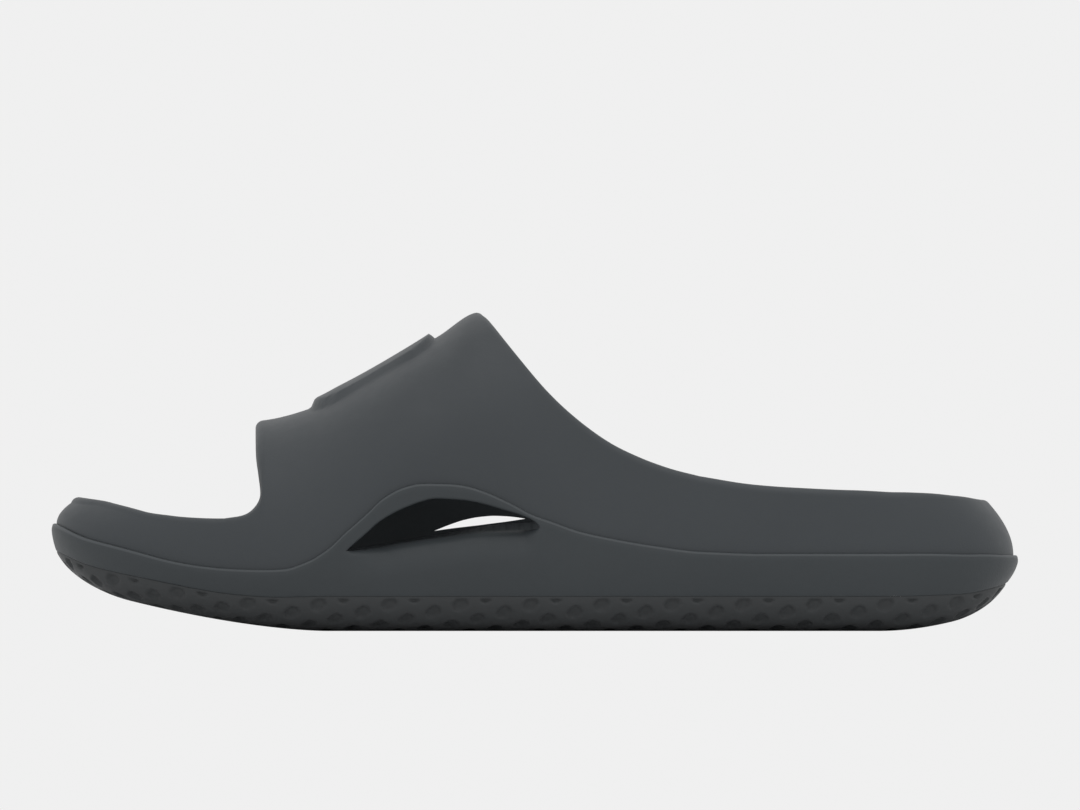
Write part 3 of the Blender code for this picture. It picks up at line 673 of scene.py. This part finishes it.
def build_outsole(material):
    """Tread with slanting rows of pockets round its edge and a field of them under it."""
    skin = Skin()
    stations, around = even_stations(TREAD_COLUMNS)
    s = stations[:, None]
    period = 2 * around / round(2 * around / CELL_PERIOD)
    edge = under_tuck(stations) + TREAD_STEP
    tops = strips(stations, edge, edge, sole_joint, FLAT_STRIPS)
    skin.sheet(tops)
    turn = np.linspace(0, np.pi / 2, TREAD_ROWS + 1)[None, :]
    level = 1 - np.sin(turn)
    field_inset = edge + TREAD_ROUND + TREAD_BAND
    edge = edge[:, None]
    band = edge + TREAD_ROUND + np.linspace(0, TREAD_BAND, TREAD_BAND_ROWS + 1)[None, 1:]
    field = strips(stations, field_inset, field_inset, lambda s, across, x: ground(x), TREAD_ACROSS)
    sides = []
    for side, k in ((LATERAL, 0), (MEDIAL, -1)):
        x, y = plan(s, side, edge + TREAD_ROUND * (1 - np.cos(turn)))
        share = level * sideways(s) + level ** 3 * (1 - sideways(s))
        side_rows = point(x, y, ground(x) + (tread_line(s) - ground(x)) * share)
        x, y = plan(s, side, band)
        rows = np.concatenate([side_rows, point(x, y, ground(x))], axis=1)
        steps = np.linalg.norm(np.diff(rows, axis=1), axis=-1)
        v = np.concatenate([np.zeros_like(s), np.cumsum(steps, axis=1)], axis=1)
        u = np.linspace(0, around, len(stations))[:, None] * -side + 0 * v
        pocket = cells(u - CELL_START[0], CELL_START[1] - v, period, CELL_STEP)
        pocket *= ease((v - SIDE_MARGIN) / SIDE_RAMP) * ease((v[:, -1:] - v - FIELD_MARGIN) / FIELD_RAMP)
        rows = press(rows, pocket * CELL_DEPTH * -side)
        rows[:, -1] = field[:, k]
        sides.append(np.concatenate([tops[:, k][:, None], rows], axis=1))
    for tip in (0, -1):
        sides[0][tip] = sides[1][tip] = (sides[0][tip] + sides[1][tip]) / 2
    for rows in sides:
        skin.sheet(rows)
    inside = np.minimum(np.linalg.norm(field - field[:, :1], axis=-1),
                        np.linalg.norm(field - field[:, -1:], axis=-1))
    ends = np.minimum(field[..., 0] - field[0, 0, 0], field[-1, 0, 0] - field[..., 0])
    clear = ease((np.minimum(inside, ends) - FIELD_MARGIN) / FIELD_RAMP)
    pocket = cells(field[..., 0], field[..., 1], CELL_PERIOD, CELL_STEP) * clear
    field[..., 2] += pocket * CELL_DEPTH
    skin.sheet(field)
    return skin.build("outsole_skin", [material], sharp=None)


def cutout_roll(station, side, height):
    """Rounded edges of a cut-out: a soft roll into its lower lip, a crisp one at its top."""
    rows = CUTOUTS[side]
    first, last = rows[0].station, rows[-1].station
    window = ease((station - first) / CUTOUT_RUN) * ease((last - station) / CUTOUT_RUN)
    lip, top = opening(station, side)
    below = np.clip(1 - np.abs(lip - height) / CUTOUT_SOFT, 0, 1)
    above = np.clip(1 - np.abs(height - top) / CUTOUT_CRISP, 0, 1)
    soft = CUTOUT_SOFT * (1 - np.sqrt(1 - below ** 2))
    crisp = CUTOUT_CRISP * (1 - np.sqrt(1 - above ** 2))
    return window * np.maximum(soft, crisp)


def deck_inset(stations, side):
    """How far the edge of the deck under the footbed stands in from the outline."""
    height = footbed_height(stations, np.full_like(stations, side)) - FOOTBED_THICKNESS - CLEARANCE
    return inner_inset(stations, height) + FIT


def build_midsole(material, lip_highlight_material):
    """Bowl with a deck, a ledge under the upper and a cut-out left open in each wall."""
    skin = Skin()
    stations = SOLE_STATIONS
    tuck = under_tuck(stations)
    under = strips(stations, tuck, tuck, sole_joint, FLAT_STRIPS)
    drop = FOOTBED_THICKNESS + CLEARANCE
    deck = strips(stations, deck_inset(stations, LATERAL), deck_inset(stations, MEDIAL),
                  lambda s, across, x: footbed_height(s, across) - drop, DECK_STRIPS)
    skin.sheet(under)
    skin.sheet(deck)
    s = stations[:, None]
    low, high = tread_line(s) + CLEARANCE, parting_line(s)
    brim, ledge = high - LIP_ROUND, high - LEDGE_GAP
    fine_end = np.sin(np.linspace(0, np.pi / 2, BELOW_ROWS + 1))[None, :]
    fine_start = 1 - np.cos(np.linspace(0, np.pi / 2, ABOVE_ROWS + 1))[None, :]
    even = np.linspace(0, 1, INNER_ROWS + 1)[None, :]
    back = PARTING_TUCK + PARTING_STEP
    for side, k in ((LATERAL, 0), (MEDIAL, -1)):
        lip, top = (np.minimum(edge, low + OPEN_LIMIT * (brim - low)) for edge in opening(s, side))
        outer = []
        for height in (low + (lip - low) * fine_end, top + (brim - top) * fine_start):
            x, y = plan(s, side, side_inset(s, side, height) + cutout_roll(s, side, height))
            outer.append(point(x, y, height))
        outer[0][:, 0] = under[:, k]

        turn = np.linspace(0, np.pi / 2, LIP_POINTS)[None, :]
        x, y = plan(s, side, side_inset(s, side, brim) + LIP_ROUND * (1 - np.cos(turn)))
        rounded = point(x, y, brim + LIP_ROUND * np.sin(turn))
        rounded[:, 0] = outer[1][:, -1]
        x, y = plan(s, side, np.array([back - SHELF_LEAD, back, back + WALL + FIT])[None, :])
        shelf = point(x, y, np.concatenate([high, ledge, ledge], axis=1))

        deck_edge = deck[:, k]
        ends = np.minimum(ledge, deck_edge[:, 2:]), np.maximum(ledge, deck_edge[:, 2:])
        inner = []
        for start, end in ((ledge, np.clip(top, *ends)), (np.clip(lip, *ends), deck_edge[:, 2:])):
            height = start + (end - start) * even
            x, y = plan(s, side, inner_inset(s, height) + FIT)
            inner.append(point(x, y, height))
        inner[0][:, 0], inner[1][:, -1] = shelf[:, -1], deck_edge

        for rows in (*outer, *inner, np.concatenate([rounded[:, -1:], shelf], axis=1)):
            skin.sheet(rows)
        # The rounded lip takes the second material, whose lighter tone paints a highlight along the
        # parting line.
        skin.sheet(rounded, tone=1)
        first, last = CUTOUTS[side][0].station, CUTOUTS[side][-1].station
        cut = (stations >= first) & (stations <= last)
        skin.sheet(np.stack([outer[0][cut, -1], inner[1][cut, 0]], axis=1))
        skin.sheet(np.stack([outer[1][cut, 0], inner[0][cut, -1]], axis=1))
    return skin.build("midsole_skin", [material, lip_highlight_material], sharp=40)


def build_footbed(material):
    """Insole of even thickness, with a heel cup and an arch support."""
    skin = Skin()
    stations = SOLE_STATIONS
    insets = []
    for side in (LATERAL, MEDIAL):
        height = footbed_height(stations, np.full_like(stations, side))
        insets.append(inner_inset(stations, height) + FOOTBED_GAP)
    top = strips(stations, *insets, lambda s, across, x: footbed_height(s, across), FOOTBED_STRIPS)
    under = top - (0, 0, FOOTBED_THICKNESS)
    skin.sheet(top)
    skin.sheet(under)
    for k in (0, -1):
        skin.sheet(np.stack([top[:, k], under[:, k]], axis=1))
    return skin.build("footbed_skin", [material])


def link(tree, source, output, target, entry):
    tree.links.new(source.outputs[output], target.inputs[entry])


def new_node(tree, kind, **values):
    """Node whose inputs, or else its settings, get the named values."""
    node = tree.nodes.new(kind)
    for name, value in values.items():
        if name in node.inputs:
            node.inputs[name].default_value = value
        else:
            setattr(node, name, value)
    return node


def foam(name, colour, roughness, grain, depth, dots=0.0):
    """Matt moulded foam: faint clouds of tone and gloss, a fine pebbled skin, optional grip dots."""
    material = bpy.data.materials.new(name)
    material.use_nodes = True
    tree = material.node_tree
    shader = tree.nodes["Principled BSDF"]
    shader.inputs["Specular IOR Level"].default_value = 0.32
    place = new_node(tree, "ShaderNodeTexCoord")

    clouds = new_node(tree, "ShaderNodeTexNoise", Scale=14.0, Detail=3.0)
    tone = new_node(tree, "ShaderNodeValToRGB")
    for end, place_on_ramp, factor in zip(tone.color_ramp.elements, (0.3, 0.7), TONE_SPREAD):
        end.position = place_on_ramp
        end.color = (*[c * factor for c in colour], 1)
    link(tree, place, "Object", clouds, "Vector")
    link(tree, clouds, "Fac", tone, "Fac")
    link(tree, tone, "Color", shader, "Base Color")

    speckle = new_node(tree, "ShaderNodeTexNoise", Scale=grain / 6, Detail=2.0)
    gloss = new_node(tree, "ShaderNodeMapRange")
    gloss.inputs["To Min"].default_value = roughness - 0.05
    gloss.inputs["To Max"].default_value = roughness + 0.06
    link(tree, place, "Object", speckle, "Vector")
    link(tree, speckle, "Fac", gloss, "Value")
    link(tree, gloss, "Result", shader, "Roughness")

    pebbles = new_node(tree, "ShaderNodeTexVoronoi", Scale=grain)
    fine = new_node(tree, "ShaderNodeTexNoise", Scale=grain * 2, Detail=3.0)
    skin = new_node(tree, "ShaderNodeBump", Strength=0.35, Distance=depth)
    under = new_node(tree, "ShaderNodeBump", Strength=0.25, Distance=depth / 2)
    link(tree, place, "Object", pebbles, "Vector")
    link(tree, place, "Object", fine, "Vector")
    link(tree, fine, "Fac", under, "Height")
    link(tree, pebbles, "Distance", skin, "Height")
    link(tree, under, "Normal", skin, "Normal")
    last = skin
    if dots:
        grid = new_node(tree, "ShaderNodeTexVoronoi", Scale=dots, Randomness=0.0)
        rise = new_node(tree, "ShaderNodeMapRange")
        rise.inputs["From Min"].default_value = 0.22
        rise.inputs["From Max"].default_value = 0.38
        rise.inputs["To Min"].default_value = 1.0
        rise.inputs["To Max"].default_value = 0.0
        bumps = new_node(tree, "ShaderNodeBump", Strength=0.8, Distance=0.0005)
        flat = new_node(tree, "ShaderNodeVectorMath", operation="MULTIPLY")
        flat.inputs[1].default_value = (1, 1, 0)
        link(tree, place, "Object", flat, 0)
        link(tree, flat, "Vector", grid, "Vector")
        link(tree, grid, "Distance", rise, "Value")
        link(tree, rise, "Result", bumps, "Height")
        link(tree, skin, "Normal", bumps, "Normal")
        last = bumps
    link(tree, last, "Normal", shader, "Normal")
    return material


def plain(name, colour):
    """Matt material of one colour."""
    material = bpy.data.materials.new(name)
    material.use_nodes = True
    shader = material.node_tree.nodes["Principled BSDF"]
    shader.inputs["Base Color"].default_value = (*colour, 1)
    shader.inputs["Roughness"].default_value = 0.9
    return material


def area_light(name, place, size, power, target):
    """Rectangular lamp that points at a target."""
    data = bpy.data.lights.new(name, "AREA")
    data.shape = "RECTANGLE"
    data.size, data.size_y = size
    data.energy = power
    lamp = bpy.data.objects.new(name, data)
    lamp.location = place
    lamp.rotation_euler = (Vector(target) - Vector(place)).to_track_quat("-Z", "Y").to_euler()
    bpy.context.collection.objects.link(lamp)


def build_studio():
    """Pale floor, white surroundings, soft light from above, camera straight at the outer side."""
    scene = bpy.context.scene
    world = scene.world or bpy.data.worlds.new("studio")
    scene.world = world
    world.use_nodes = True
    back = world.node_tree.nodes["Background"]
    back.inputs["Color"].default_value = (1, 1, 1, 1)
    back.inputs["Strength"].default_value = WORLD_STRENGTH
    scene.view_settings.view_transform = "Standard"
    mesh = bpy.data.meshes.new("floor")
    floor = bpy.data.objects.new("floor", mesh)
    bpy.context.collection.objects.link(floor)
    corners = [(i * FLOOR_REACH, j * FLOOR_REACH, 0) for i, j in ((-1, -1), (1, -1), (1, 1), (-1, 1))]
    mesh.from_pydata(corners, [], [(0, 1, 2, 3)])
    mesh.materials.append(plain("floor", FLOOR_COLOUR))
    area_light("overhead", OVERHEAD_PLACE, OVERHEAD_SIZE, OVERHEAD_POWER, OVERHEAD_TARGET)
    data = bpy.data.cameras.new("camera")
    data.type = "ORTHO"
    data.ortho_scale = PIXEL * PHOTO_WIDTH
    camera = bpy.data.objects.new("camera", data)
    x = (PHOTO_WIDTH / 2 - SHOE_MIDDLE_PIXEL) * PIXEL
    z = (FLOOR_PIXEL - PHOTO_HEIGHT / 2) * PIXEL
    camera.location = (x, -CAMERA_DISTANCE, z)
    camera.rotation_euler = Euler((np.pi / 2, 0, 0))
    bpy.context.collection.objects.link(camera)
    scene.camera = camera


def main():
    grain = (FOAM_GRAIN, FOAM_GRAIN_DEPTH)
    # The lip's material is lighter than the midsole's only to paint the highlight along the parting line.
    lip_highlight_foam = foam("lip_highlight_foam", LIP_HIGHLIGHT_COLOUR, 0.50, *grain)
    upper_foam = foam("upper_foam", UPPER_COLOUR, 0.52, *grain)
    midsole_foam = foam("midsole_foam", MIDSOLE_COLOUR, 0.52, *grain)
    # The tread's colour holds painted fill light as well as the foam's own grey.
    tread_foam = foam("tread_foam", TREAD_COLOUR_WITH_PAINTED_FILL, 0.56, *grain)
    fine_grain = (FOOTBED_GRAIN, FOOTBED_GRAIN_DEPTH)
    footbed_foam = foam("footbed_foam", FOOTBED_COLOUR, 0.66, *fine_grain, dots=FOOTBED_DOTS)
    pieces = [
        ("upper", build_upper(upper_foam)),
        ("midsole", build_midsole(midsole_foam, lip_highlight_foam)),
        ("outsole", build_outsole(tread_foam)),
        ("footbed", build_footbed(footbed_foam)),
    ]
    for node, piece in pieces:
        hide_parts(node)
        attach(piece, "root")
    build_studio()


main()
